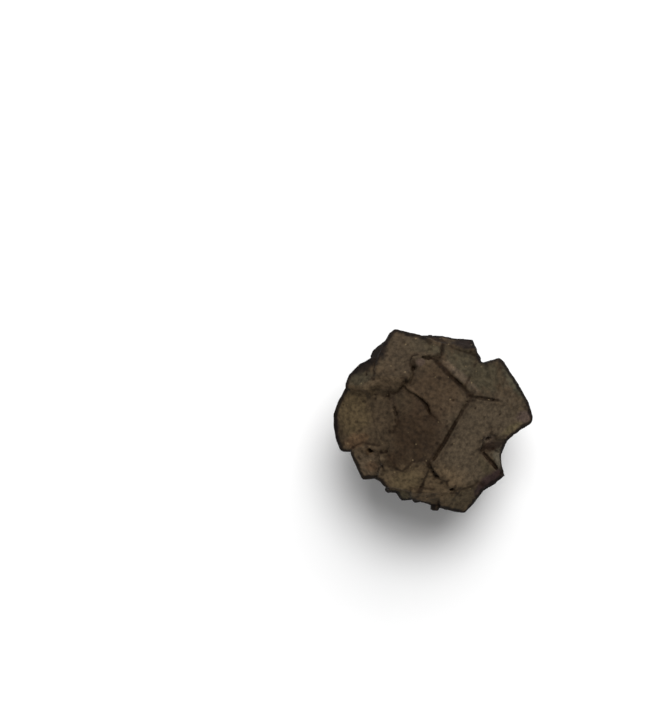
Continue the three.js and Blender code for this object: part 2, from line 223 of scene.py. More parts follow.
@dataclass(frozen=True)
class EdgeFinder:
    """Finds the valleys between crystals, and the brow all round the crown. Sizes are in millimetres.

    The healed places, as x, y and radius, are where two crystals have grown together and no seam shows.
    """

    valley_angle: float = 10.0
    steep_limit: float = 0.35
    overhang: float = 0.3
    spacing: float = 0.12
    reach: float = 4.0
    sky: float = 100.0
    healed: tuple[tuple[float, float, float], ...] = (
        (14.0, 3.0, 3.6),
        (1.4, -11.6, 1.5),
        (6.6, 7.9, 1.0),
        (-7.1, -3.6, 1.8),
        (-7.4, 7.2, 2.2),
        (0.9, -0.4, 1.3),
        (-12.3, 5.0, 2.2),
        (-9.2, 4.7, 1.6),
        (-4.2, 5.0, 1.3),
        (-1.2, 10.8, 1.2),
        (9.1, -2.9, 0.9),
    )

    def marks(self, solid: bmesh.types.BMesh, kind: EdgeKind) -> list[Vector]:
        """Spreads points along all edges of a kind.

        Args:
            solid: The solid, with merged corners.
            kind: The kind of edge: a valley, or the brow, past which nothing of the stone shows from above.

        Returns:
            The points.
        """
        faces = BVHTree.FromBMesh(solid)
        found: list[Vector] = []
        for edge in solid.edges:
            if len(edge.link_faces) != 2:
                continue
            bend = math.degrees(edge.calc_face_angle_signed(0.0))
            if kind is EdgeKind.VALLEY and bend < -self.valley_angle:
                found.extend(mark for mark in self._spread(edge) if not self._healed(mark))
            steep = min(edge.link_faces, key=lambda face: face.normal.z).normal
            if kind is EdgeKind.BROW and bend > 0 and steep.z < self.steep_limit:
                outward = Vector((steep.x, steep.y, 0)).normalized() * self.overhang
                found.extend(mark for mark in self._spread(edge) if not self._covered(faces, mark + outward))
        return found

    def distances(self, solid: bpy.types.Mesh, points: np.ndarray, kind: EdgeKind) -> np.ndarray:
        """Measures how far points lie from the nearest edge of a kind.

        Args:
            solid: The solid, with merged corners.
            points: The places to measure from, one in each row.
            kind: The kind of edge.

        Returns:
            One distance for each point, no longer than the reach.
        """
        work = bmesh.new()
        work.from_mesh(solid)
        marks = self.marks(work, kind)
        work.free()
        tree = KDTree(len(marks))
        for i, mark in enumerate(marks):
            tree.insert(mark, i)
        tree.balance()
        return np.minimum([tree.find(Vector(point))[2] for point in points], self.reach)

    def _spread(self, edge: bmesh.types.BMEdge) -> list[Vector]:
        """Spreads points evenly along an edge.

        Args:
            edge: The edge.

        Returns:
            The points, with both ends.
        """
        start, end = (corner.co.copy() for corner in edge.verts)
        steps = max(1, math.ceil((end - start).length / self.spacing))
        return [start.lerp(end, i / steps) for i in range(steps + 1)]

    def _healed(self, place: Vector) -> bool:
        """Tells whether a place on the crown lies where a seam has grown shut."""
        return any(math.hypot(place.x - x, place.y - y) < radius for x, y, radius in self.healed)

    def _covered(self, faces: BVHTree, place: Vector) -> bool:
        """Tells whether some of the stone lies straight under or over a place."""
        return faces.ray_cast(place + Vector((0, 0, self.sky)), Vector((0, 0, -1)))[0] is not None


# Relief


@dataclass(frozen=True)
class Relief:
    """How deep and how coarse the wear on the crystals' faces is.

    Depths and sizes are in millimetres. The pocks' reach is a share of their size, and the chips' bias and
    gain set how much of an edge breaks away.
    """

    swell_depth: float = 0.16
    swell_size: float = 4.2
    terrace_depth: float = 0.16
    terrace_size: float = 5.5
    grain_depth: float = 0.1
    grain_size: float = 0.55
    pock_depth: float = 0.2
    pock_size: float = 1.35
    chip_depth: float = 0.34
    chip_size: float = 1.1
    terraces: int = 3
    pocked_share: float = 0.34
    pock_reach: float = 0.36
    chip_bias: float = 0.04
    chip_gain: float = 6.0
    noise_roughness: float = 0.55
    seed: int = 11

    def sizes(self) -> dict[str, float]:
        """Gives the tree's named inputs and their values.

        Returns:
            The values by the inputs' names.
        """
        return {
            "Swell Depth": self.swell_depth,
            "Swell Size": self.swell_size,
            "Terrace Depth": self.terrace_depth,
            "Terrace Size": self.terrace_size,
            "Grain Depth": self.grain_depth,
            "Grain Size": self.grain_size,
            "Pock Depth": self.pock_depth,
            "Pock Size": self.pock_size,
            "Chip Depth": self.chip_depth,
            "Chip Size": self.chip_size,
            "Seed": float(self.seed),
        }

    def tree(self, material: bpy.types.Material) -> bpy.types.NodeTree:
        """Builds the Geometry Nodes tree that wears the faces and chips the edges.

        Args:
            material: The finish that the tree sets on the worn mesh.

        Returns:
            The node group, with one named input for each size.
        """
        tree = bpy.data.node_groups.new("crystal_wear", "GeometryNodeTree")
        tree.interface.new_socket("Geometry", in_out="INPUT", socket_type="NodeSocketGeometry")
        for name, value in self.sizes().items():
            socket = tree.interface.new_socket(name, in_out="INPUT", socket_type="NodeSocketFloat")
            socket.default_value = value
        tree.interface.new_socket("Geometry", in_out="OUTPUT", socket_type="NodeSocketGeometry")
        given = add_node(tree, "NodeGroupInput").outputs
        rough = self.noise_roughness
        place = add_node(tree, "GeometryNodeInputPosition").outputs[0]
        normal = add_node(tree, "GeometryNodeInputNormal").outputs[0]

        def per_size(name: str) -> Any:
            """Turns a size in millimetres into a pattern scale."""
            return maths(tree, "DIVIDE", 1.0, given[name])

        def cloud(name: str, shift: float, detail: float) -> Any:
            """Adds noise of a named size, centred on zero, which the seed moves.

            Args:
                name: The input that gives the size.
                shift: What is added to the seed, to keep the noises apart.
                detail: How many finer layers the noise has.

            Returns:
                The noise.
            """
            seed = maths(tree, "ADD", given["Seed"], shift)
            noise = add_node(
                tree,
                "ShaderNodeTexNoise",
                {"Vector": place, "W": seed, "Scale": per_size(name), "Detail": detail, "Roughness": rough},
                noise_dimensions="4D",
            )
            return maths(tree, "SUBTRACT", noise.outputs[0], 0.5)

        def stored(name: str) -> Any:
            """Reads a number that the mesh stores for each point."""
            reader = "GeometryNodeInputNamedAttribute"
            return add_node(tree, reader, {"Name": name}, data_type="FLOAT").outputs[0]

        swell = maths(tree, "MULTIPLY", cloud("Swell Size", shift=0.0, detail=2.0), given["Swell Depth"])
        level = cloud("Terrace Size", shift=3.0, detail=3.0)
        level = maths(tree, "MULTIPLY", level, float(self.terraces) * 2)
        stepped = maths(tree, "DIVIDE", maths(tree, "ROUND", level), float(self.terraces))
        terrace = maths(tree, "MULTIPLY", stepped, given["Terrace Depth"])
        grain = maths(tree, "MULTIPLY", cloud("Grain Size", shift=7.0, detail=2.0), given["Grain Depth"])

        cells = add_node(
            tree,
            "ShaderNodeTexVoronoi",
            {"Vector": place, "W": given["Seed"], "Scale": per_size("Pock Size")},
            voronoi_dimensions="4D",
        )
        dip = maths(tree, "SUBTRACT", self.pock_reach, cells.outputs["Distance"])
        dip = maths(tree, "MULTIPLY", maths(tree, "MAXIMUM", dip, 0.0), 1 / self.pock_reach)
        chosen = maths(tree, "LESS_THAN", cells.outputs["Color"], self.pocked_share)
        pock = maths(tree, "MULTIPLY", maths(tree, "MULTIPLY", dip, chosen), given["Pock Depth"])

        edge = stored("edge")
        broken = maths(tree, "ADD", cloud("Chip Size", shift=13.0, detail=3.0), self.chip_bias)
        broken = maths(tree, "MAXIMUM", broken, 0.0)
        chip = maths(tree, "MULTIPLY", maths(tree, "MULTIPLY", edge, broken), given["Chip Depth"])
        chip = maths(tree, "MULTIPLY", chip, self.chip_gain)

        raised = maths(tree, "ADD", maths(tree, "ADD", swell, terrace), grain)
        lost = maths(tree, "ADD", pock, chip)
        free = stored("free")
        height = maths(tree, "MULTIPLY", maths(tree, "SUBTRACT", raised, lost), free)
        offset = add_node(tree, "ShaderNodeVectorMath", {0: normal, 3: height}, operation="SCALE").outputs[0]
        moved = add_node(tree, "GeometryNodeSetPosition", {"Geometry": given["Geometry"], "Offset": offset})
        whole = add_node(tree, "GeometryNodeRealizeInstances", {0: moved.outputs[0]})
        finish = {"Geometry": whole.outputs[0], "Material": material}
        dressed = add_node(tree, "GeometryNodeSetMaterial", finish)
        add_node(tree, "NodeGroupOutput", {0: dressed.outputs[0]})
        return tree


# Finishes


@dataclass(frozen=True)
class SkinPatch:
    """A patch of another colour on the skin. Most are stains; some are painted shade, a painted shadow or
    painted light.

    Its centre and radii are in millimetres, and its turn about the upright is in degrees.
    """

    name: str
    centre: tuple[float, float, float]
    radii: tuple[float, float, float]
    turn: float
    colour: str
    strength: float


@dataclass(frozen=True)
class Span:
    """Where a measured value starts to show, where it shows fully, and how strongly it shows then."""

    start: float
    full: float
    strength: float = 1.0


@dataclass(frozen=True)
class WeatheredPyrite:
    """Pyrite under a skin of brown iron oxide, grown by weathering and worn by handling.

    The skin is dull and earthy, with a fine grain of crystal corners, so the eye sees soft broad highlights,
    darker creases, seams and hollows where dirt and oxide gather and where shade is painted in, painted
    shade along the outline and on the steep sides, and slightly paler, smoother edges. Pattern sizes are in
    millimetres. The grains of such a skin are about 0.1 mm, too fine to show here, so they are drawn as
    coarse as the grain size. The pale flecks are bare pyrite with its glint painted in. The patches lie
    under
    the dirt and painted shade: most are stains, and some are painted shade along the outline and in the
    notch, a painted shadow at the top, and painted light on faces that turn from the lamps. The lightened
    seams and pits are painted light laid over their dirt and shade.
    """

    name: str = "pyrite_weathered_to_iron_oxide"
    skin: str = "#46392a"
    skin_dark: str = "#332a1f"
    skin_pale: str = "#544736"
    # The seam colour darkens creases, seams and hollows as dirt and oxide and as painted shade, and colours
    # the specks.
    seam_dirt_and_shade: str = "#1d1208"
    # The rim colour is painted shade along the outline and on the steep sides, where the flanks turn from
    # the lamps.
    rim_shade: str = "#120d0b"
    worn: str = "#554a3c"
    # The fleck colour is bare pyrite with its glint painted in.
    fleck: str = "#7d6c50"
    mottle_size: float = 3.2
    patch_size: float = 1.1
    grain_size: float = 0.7
    fleck_size: float = 0.9
    speck_size: float = 1.2
    pit_size: float = 0.42
    pit_share: float = 0.6
    cloud_roughness: float = 0.6
    ior: float = 1.45
    specular_level: float = 0.09
    roughness: float = 0.74
    roughness_spread: float = 0.3
    bump_strength: float = 0.5
    bump_depth: float = 0.05
    mottle_share: float = 1.1
    crystal_share: float = 0.35
    tone_span: Span = Span(0.35, 1.15)
    patch_span: Span = Span(0.35, 0.75, 0.7)
    patch_raggedness: float = 0.9
    patch_border: tuple[float, float] = (1.65, 1.05)
    seam_raggedness: float = 0.5
    rim_raggedness: float = 2.2
    # The cavity and valley spans set where dirt and painted shade darken creases, seams and hollows.
    cavity_span: Span = Span(0.1, 0.8, 0.9)
    valley_haze: Span = Span(1.3, 0.2, 0.25)
    valley_line: Span = Span(0.36, 0.1, 0.6)
    # The rim and steep spans set where painted shade darkens the outline and the steep sides.
    rim_shade_span: Span = Span(0.8, 0.3, 0.9)
    steep_shade_span: Span = Span(0.35, 0.9, 0.25)
    worn_span: Span = Span(0.45, 0.6, 0.4)
    fleck_span: Span = Span(0.22, 0.1, 0.5)
    fleck_choice: Span = Span(0.72, 0.8)
    speck_span: Span = Span(0.55, 0.3, 0.45)
    speck_choice: Span = Span(0.45, 0.7)
    speck_raggedness: float = 0.4
    grain_span: Span = Span(0.32, 0.68)
    grain_brightness: tuple[float, float] = (0.53, 1.29)
    # Patches of colour: most are stains of the skin; the ones marked below are painted shade, a painted
    # shadow and painted light.
    colour_patches: tuple[SkinPatch, ...] = (
        SkinPatch("right_plate", (8.0, -3.4, 20), (10.5, 9.5, 9), -28, "#504537", 0.75),
        SkinPatch("right_low_olive", (9.4, -7.2, 19), (2.8, 1.8, 6), -45, "#3b3424", 0.5),
        SkinPatch("foot_olive", (5.6, -12.5, 18), (3.8, 2.4, 7), 20, "#463c2c", 0.7),
        # The hollow patches make the hollow darker.
        SkinPatch("hollow", (-2.6, -2.3, 22), (5.3, 5.3, 6), 10, "#2a1e13", 0.8),
        SkinPatch("hollow_upper", (0.4, 4.6, 23), (5.2, 5.6, 5), -30, "#3e3023", 0.6),
        SkinPatch("hollow_foot", (-6.0, -6.4, 22), (2.6, 1.5, 6), -15, "#2c2014", 0.7),
        SkinPatch("left_brown", (-9.4, -1.0, 21), (3.6, 4.6, 6), 0, "#463a2c", 0.65),
        SkinPatch("left_ochre", (-13.0, 1.2, 20), (3.1, 3.9, 6), 8, "#5b4d36", 0.6),
        SkinPatch("left_rust", (-12.5, -3.2, 20), (2.1, 1.3, 6), 20, "#614a35", 0.55),
        SkinPatch("corner_brown", (-10.6, -6.8, 19), (3.4, 2.8, 6), 0, "#625342", 0.7),
        SkinPatch("corner_rust", (-10.0, -7.3, 19), (1.2, 1.0, 5), 0, "#5c4430", 0.45),
        SkinPatch("lower_brown", (-1.4, -9.6, 21), (7.0, 3.2, 6), 0, "#60503c", 0.75),
        SkinPatch("lower_ochre", (-4.2, -9.5, 21), (3.1, 1.9, 6), 20, "#5f523a", 0.5),
        SkinPatch("lump_green", (-5.0, -12.4, 19), (1.8, 1.2, 6), 0, "#5c5540", 0.6),
        SkinPatch("upper_right_green", (6.6, 8.4, 22), (5.4, 3.4, 7), -35, "#403b2d", 0.65),
        SkinPatch("right_edge_green", (13.5, 6.6, 19), (1.3, 4.4, 7), 33, "#464639", 0.5),
        SkinPatch("upper_left_green", (-1.4, 11.9, 22), (3.4, 1.4, 6), -14, "#454132", 0.5),
        SkinPatch("upper_plate", (-4.8, 11.2, 23), (4.6, 4.2, 7), 0, "#40362a", 0.6),
        SkinPatch("upper_seam", (0.2, 13.6, 21), (2.3, 0.45, 6), -24, "#1c130c", 0.8),
        SkinPatch("pink_spot", (-2.1, 9.6, 24), (0.8, 0.7, 4), 0, "#5a4a42", 0.5),
        # Painted shade: near-black patches from wedge_dark to foot_corner_rim, where the outline's flanks at
        # the upper left and at the foot turn from the lamps.
        SkinPatch("wedge_dark", (-9.4, 11.2, 20), (1.7, 2.7, 7), -38, "#0f0b0a", 0.9),
        SkinPatch("shoulder_dark", (-11.3, 9.1, 20), (3.5, 1.3, 7), 36, "#130f0d", 0.85),
        SkinPatch("upper_left_rim", (-11.0, 11.0, 19.5), (5.6, 0.7, 5), 42, "#080605", 0.95),
        SkinPatch("foot_rim", (3.4, -14.9, 16.5), (4.2, 0.6, 3.2), -12, "#0a0706", 0.92),
        SkinPatch("foot_corner_rim", (6.9, -13.7, 17), (2.6, 0.6, 3.2), 45, "#0a0706", 0.92),
        SkinPatch("shoulder_green", (-11.6, 6.9, 20), (2.9, 1.1, 7), 15, "#363328", 0.65),
        SkinPatch("notch_pale", (11.0, -5.9, 18), (1.2, 2.8, 6), 12, "#5f594c", 0.65),
        # Painted shade in the notch, where the lower side face falls away from the lamps.
        SkinPatch("notch_dark", (9.7, -4.0, 19), (2.1, 0.8, 6), 8, "#291b15", 0.75),
        # Painted light: paler on the fall, a face that turns from the lamps, against its shade.
        SkinPatch("fall_pale", (-7.4, 6.3, 23), (3.2, 1.3, 5), 0, "#62523f", 0.35),
        SkinPatch("worn_edge_pale", (4.5, 7.3, 23), (4.3, 0.6, 5), -42, "#625346", 0.4),
        SkinPatch("right_tip_pink", (14.8, 0.7, 18), (1.5, 1.0, 5), 0, "#584945", 0.5),
        SkinPatch("right_tip_ochre", (12.7, -1.3, 18), (2.1, 0.7, 5), 32, "#5c5239", 0.5),
        SkinPatch("seam_left_of_hollow", (-6.2, 1.2, 23), (2.5, 0.5, 5), 101, "#1a1108", 0.35),
        SkinPatch("crack_in_hollow", (-1.2, 2.5, 23), (1.7, 0.4, 5), -58, "#1a1108", 0.6),
        # Painted shade in the corner at the notch.
        SkinPatch("corner_at_notch", (11.1, -8.5, 18), (1.1, 0.4, 4), -45, "#150d0a", 0.75),
        # Painted light at the foot of the ledge, against the shade of its steep wall.
        SkinPatch("ledge_foot", (-11.8, 5.0, 20), (2.8, 0.8, 5), -8, "#6a5942", 0.6),
        # Painted shadow that the upper left plate's raised edge casts on its neighbour.
        SkinPatch("seam_at_the_top", (1.4, 11.8, 22), (1.6, 0.42, 5), 88, "#1a1108", 0.6),
        SkinPatch("crack_lower_left", (-2.0, -10.9, 20), (1.5, 0.42, 5), 69, "#1a1108", 0.65),
        SkinPatch("crack_lower_middle", (-0.1, -8.1, 22), (2.0, 0.4, 5), -51, "#1a1108", 0.65),
        SkinPatch("pit_dirt", (-3.3, 9.2, 24), (0.45, 1.1, 4), 0, "#1a1108", 0.65),
        SkinPatch("seam_over_hollow", (2.8, 7.25, 24), (5.2, 0.42, 5), -44.6, "#1a1108", 0.7),
        SkinPatch("seam_beside_hollow", (2.75, -1.65, 24), (7.0, 0.42, 5), 59.3, "#1a1108", 0.65),
        SkinPatch("seam_to_the_right", (8.2, 3.7, 23), (3.2, 0.36, 5), -9.6, "#1a1108", 0.65),
        # Painted shade along the outline at the left, the top and the lower right, where steep faces turn
        # from the lamps.
        SkinPatch("left_rim", (-16.2, -1.4, 18), (0.9, 4.2, 3.2), 0, "#1a1215", 0.8),
        SkinPatch("top_rim", (5.6, 12.6, 21.5), (2.6, 1.0, 4), -5, "#150d0f", 0.8),
        SkinPatch("lower_right_rim", (9.3, -10.1, 18.5), (3.6, 1.5, 3.6), 36, "#2a1d1f", 0.85),
    )
    # Painted light: skin colour laid over seams, cracks and pits, taking back the dirt and painted shade
    # there and lightening the shade in the pits.
    lightened_seams_and_pits: tuple[SkinPatch, ...] = (
        SkinPatch("lightened_hook", (-4.0, 5.0, 23), (2.0, 0.8, 6), -38, "#493b2c", 0.6),
        SkinPatch("lightened_slit", (-1.2, 10.8, 23), (1.6, 0.6, 6), 0, "#43372a", 0.45),
        SkinPatch("lightened_seam", (-6.5, 2.3, 23), (1.5, 0.6, 6), 101, "#44372a", 0.45),
        SkinPatch("lightened_notch", (8.9, -6.1, 19), (1.9, 0.6, 6), -50, "#433528", 0.55),
        SkinPatch("lightened_pit", (9.1, -2.9, 19), (0.9, 0.6, 5), 0, "#54463a", 0.7),
        SkinPatch("lightened_left_pit", (-10.5, -4.9, 20), (0.9, 0.7, 5), 0, "#3a2a18", 0.5),
    )

    def build(self) -> bpy.types.Material:
        """Builds the material.

        Returns:
            The finished node material.
        """
        material = bpy.data.materials.new(self.name)
        material.use_nodes = True
        tree = material.node_tree
        tree.nodes.clear()
        place = self._millimetres(tree)
        mottle = self._cloud(tree, place, self.mottle_size, detail=6.0)
        patch = self._cloud(tree, place, self.patch_size, detail=4.0)
        grain = self._cloud(tree, place, self.grain_size, detail=3.0)
        colour = self._skin_colour(tree, place, mottle, patch, grain)
        height = self._relief_height(tree, place, grain)
        bump = add_node(
            tree,
            "ShaderNodeBump",
            {"Strength": self.bump_strength, "Distance": self.bump_depth * MM, "Height": height},
        )
        smoothest = self.roughness - self.roughness_spread / 2
        rough = maths(tree, "MULTIPLY_ADD", patch, self.roughness_spread, smoothest)
        shader = add_node(
            tree,
            "ShaderNodeBsdfPrincipled",
            {
                "Base Color": colour,
                "Roughness": rough,
                "IOR": self.ior,
                "Specular IOR Level": self.specular_level,
                "Normal": bump.outputs[0],
            },
        )
        add_node(tree, "ShaderNodeOutputMaterial", {"Surface": shader.outputs[0]})
        return material

    def _millimetres(self, tree: bpy.types.NodeTree) -> Any:
        """Gives the place on the stone in millimetres, so that every pattern size is a real one.

        Args:
            tree: The node tree.

        Returns:
            The place.
        """
        coordinates = add_node(tree, "ShaderNodeTexCoord").outputs["Object"]
        scale = (METRES_TO_MM,) * 3
        return add_node(tree, "ShaderNodeMapping", {"Vector": coordinates, "Scale": scale}).outputs[0]

    def _cloud(self, tree: bpy.types.NodeTree, place: Any, size: float, detail: float) -> Any:
        """Adds noise whose lumps have a given size in millimetres.

        Args:
            tree: The node tree.
            place: The place on the stone in millimetres.
            size: The size of the lumps.
            detail: How many finer layers the noise has.

        Returns:
            The noise, from 0 to 1.
        """
        sockets = {"Vector": place, "Scale": 1 / size, "Detail": detail, "Roughness": self.cloud_roughness}
        return add_node(tree, "ShaderNodeTexNoise", sockets).outputs[0]

    def _blend(self, tree: bpy.types.NodeTree, share: Any, first: Any, second: Any) -> Any:
        """Mixes two colours by a share that may vary over the surface.

        Args:
            tree: The node tree.
            share: How much of the second colour shows, from 0 to 1.
            first: The first colour.
            second: The second colour.

        Returns:
            The mixed colour.
        """
        sockets = {0: share, 6: first, 7: second}
        return add_node(tree, "ShaderNodeMix", sockets, data_type="RGBA", clamp_factor=True).outputs[2]

    def _eased(self, tree: bpy.types.NodeTree, value: Any, span: Span) -> Any:
        """Eases a value from 0 at the span's start to its strength where it shows fully.

        Args:
            tree: The node tree.
            value: The value to ease.
            span: The span.

        Returns:
            The eased value.
        """
        sockets = {0: value, 1: span.start, 2: span.full, 3: 0.0, 4: span.strength}
        return add_node(tree, "ShaderNodeMapRange", sockets, interpolation_type="SMOOTHSTEP").outputs[0]

    def _cells(self, tree: bpy.types.NodeTree, place: Any, size: float) -> Any:
        """Adds a cell pattern whose cells have a given size in millimetres."""
        return add_node(tree, "ShaderNodeTexVoronoi", {"Vector": place, "Scale": 1 / size}).outputs

    def _measure(self, tree: bpy.types.NodeTree, name: str) -> Any:
        """Reads one of the numbers stored on the mesh."""
        return add_node(tree, "ShaderNodeAttribute", attribute_name=name).outputs["Fac"]

    def _patch_share(self, tree: bpy.types.NodeTree, place: Any, patch: Any, skin_patch: SkinPatch) -> Any:
        """Gives how strongly a patch shows: strong at its middle and ragged at its border.

        Args:
            tree: The node tree.
            place: The place on the stone in millimetres.
            patch: The noise that makes borders ragged.
            skin_patch: The patch.

        Returns:
            The share of the patch's colour.
        """
        centred = add_node(
            tree,
            "ShaderNodeVectorMath",
            {0: place, 1: skin_patch.centre},
            operation="SUBTRACT",
            label=skin_patch.name,
        ).outputs[0]
        turned = add_node(
            tree,
            "ShaderNodeVectorRotate",
            {"Vector": centred, "Angle": math.radians(-skin_patch.turn)},
            rotation_type="Z_AXIS",
        ).outputs[0]
        scaled = add_node(
            tree, "ShaderNodeVectorMath", {0: turned, 1: skin_patch.radii}, operation="DIVIDE"
        ).outputs[0]
        far = add_node(tree, "ShaderNodeVectorMath", {0: scaled}, operation="LENGTH").outputs["Value"]
        ragged = maths(tree, "MULTIPLY_ADD", patch, self.patch_raggedness, far)
        return self._eased(tree, ragged, Span(*self.patch_border, skin_patch.strength))

    def _skin_colour(self, tree: bpy.types.NodeTree, place: Any, mottle: Any, patch: Any, grain: Any) -> Any:
        """Builds the colour: brown skin, stains with painted shade and painted light, dirt with painted
        shade, painted light over seams and pits, pale flecks with a painted glint, and specks, all varied by
        the finest grain.

        Args:
            tree: The node tree.
            place: The place on the stone in millimetres.
            mottle: The broad noise of paler and darker skin.
            patch: The noise that makes borders ragged.
            grain: The finest noise.

        Returns:
            The colour.
        """
        crystal = maths(tree, "MULTIPLY", self._measure(tree, "crystal"), self.crystal_share)
        tone = maths(tree, "MULTIPLY_ADD", mottle, self.mottle_share, crystal)
        toned = self._eased(tree, tone, self.tone_span)
        colour = self._blend(tree, toned, linear(self.skin_dark), linear(self.skin_pale))
        colour = self._blend(tree, self._eased(tree, patch, self.patch_span), colour, linear(self.skin))
        # Stains with painted shade and painted light, then dirt with painted shade.
        colour = self._patched(tree, place, patch, colour, self.colour_patches)
        colour = self._dirt_and_shade(tree, patch, colour)
        # Painted light over seams and pits comes after the dirt and painted shade.
        colour = self._patched(tree, place, patch, colour, self.lightened_seams_and_pits)
        colour = self._flecked(tree, place, grain, colour)
        darkest, brightest = self.grain_brightness
        sockets = {0: grain, 1: self.grain_span.start, 2: self.grain_span.full, 3: darkest, 4: brightest}
        speckle = add_node(tree, "ShaderNodeMapRange", sockets).outputs[0]
        sockets = {0: 1.0, 6: colour, 7: speckle}
        return add_node(
            tree, "ShaderNodeMix", sockets, data_type="RGBA", blend_type="MULTIPLY"
        ).outputs[2]

    def _dirt_and_shade(self, tree: bpy.types.NodeTree, patch: Any, colour: Any) -> Any:
        """Darkens creases, seams and hollows with dirt and painted shade, paints shade along the rim and on
        the steep sides, and pales the worn edges.

        Args:
            tree: The node tree.
            patch: The noise that makes borders ragged.
            colour: The skin's colour with its patches.

        Returns:
            The colour with its dirt and painted shade.
        """
        ragged = maths(tree, "MULTIPLY_ADD", patch, self.seam_raggedness, -self.seam_raggedness / 2)
        valley = maths(tree, "ADD", self._measure(tree, EdgeKind.VALLEY.value), ragged)
        brow = self._measure(tree, EdgeKind.BROW.value)
        brow = maths(tree, "MULTIPLY_ADD", ragged, self.rim_raggedness, brow)
        layers = (
            # Cavity: dirt in the fine creases and painted shade in the broad hollows. Valley haze and line:
            # dark seams, partly dirt and partly painted crease shade.
            (self._measure(tree, "cavity"), self.cavity_span, self.seam_dirt_and_shade),
            (valley, self.valley_haze, self.seam_dirt_and_shade),
            (valley, self.valley_line, self.seam_dirt_and_shade),
            # Brow and steep: painted shade along the outline and on the steep sides.
            (brow, self.rim_shade_span, self.rim_shade),
            (self._measure(tree, "steep"), self.steep_shade_span, self.rim_shade),
        )
        for value, span, darker in layers:
            colour = self._blend(tree, self._eased(tree, value, span), colour, linear(darker))
        worn = self._eased(tree, patch, self.worn_span)
        worn = maths(tree, "MULTIPLY", self._measure(tree, "edge"), worn)
        return self._blend(tree, worn, colour, linear(self.worn))

    def _patched(
        self, tree: bpy.types.NodeTree, place: Any, patch: Any, colour: Any, colour_patches: tuple[SkinPatch, ...]
    ) -> Any:
        """Lays patches over a colour, one after the other.

        Args:
            tree: The node tree.
            place: The place on the stone in millimetres.
            patch: The noise that makes borders ragged.
            colour: The colour under the patches.
            colour_patches: The patches, in order.

        Returns:
            The patched colour.
        """
        for skin_patch in colour_patches:
            share = self._patch_share(tree, place, patch, skin_patch)
            colour = self._blend(tree, share, colour, linear(skin_patch.colour))
        return colour

    def _flecked(self, tree: bpy.types.NodeTree, place: Any, grain: Any, colour: Any) -> Any:
        """Adds small bright flecks of bare pyrite, whose glint is painted in as a pale colour, and ragged
        dark specks, in some cells of a pattern.

        Args:
            tree: The node tree.
            place: The place on the stone in millimetres.
            grain: The finest noise.
            colour: The colour under them.

        Returns:
            The colour with its flecks and specks.
        """
        cells = self._cells(tree, place, self.fleck_size)
        spot = self._eased(tree, cells["Distance"], self.fleck_span)
        fleck = maths(tree, "MULTIPLY", spot, self._eased(tree, cells["Color"], self.fleck_choice))
        # Pale flecks of bare pyrite, with their glint painted in.
        colour = self._blend(tree, fleck, colour, linear(self.fleck))
        cells = self._cells(tree, place, self.speck_size)
        ragged = maths(tree, "MULTIPLY_ADD", grain, self.speck_raggedness, cells["Distance"])
        spot = self._eased(tree, ragged, self.speck_span)
        speck = maths(tree, "MULTIPLY", spot, self._eased(tree, cells["Color"], self.speck_choice))
        return self._blend(tree, speck, colour, linear(self.seam_dirt_and_shade))

    def _relief_height(self, tree: bpy.types.NodeTree, place: Any, grain: Any) -> Any:
        """Gives the height of the finest grain, which is too small for the mesh."""
        cells = self._cells(tree, place, self.pit_size)
        return maths(tree, "ADD", grain, maths(tree, "MULTIPLY", cells["Distance"], self.pit_share))


@dataclass(frozen=True)
class StudioSheet:
    """Matt white card without a gloss, so the eye sees only the stone and its soft shadow."""

    name: str = "white_card_matt"
    colour: str = "#f4f4f4"
    roughness: float = 0.9

    def build(self) -> bpy.types.Material:
        """Builds the material.

        Returns:
            The finished node material.
        """
        material = bpy.data.materials.new(self.name)
        material.use_nodes = True
        shader = material.node_tree.nodes["Principled BSDF"]
        shader.inputs["Base Color"].default_value = linear(self.colour)
        shader.inputs["Roughness"].default_value = self.roughness
        shader.inputs["Specular IOR Level"].default_value = 0.0
        return material


# The stone


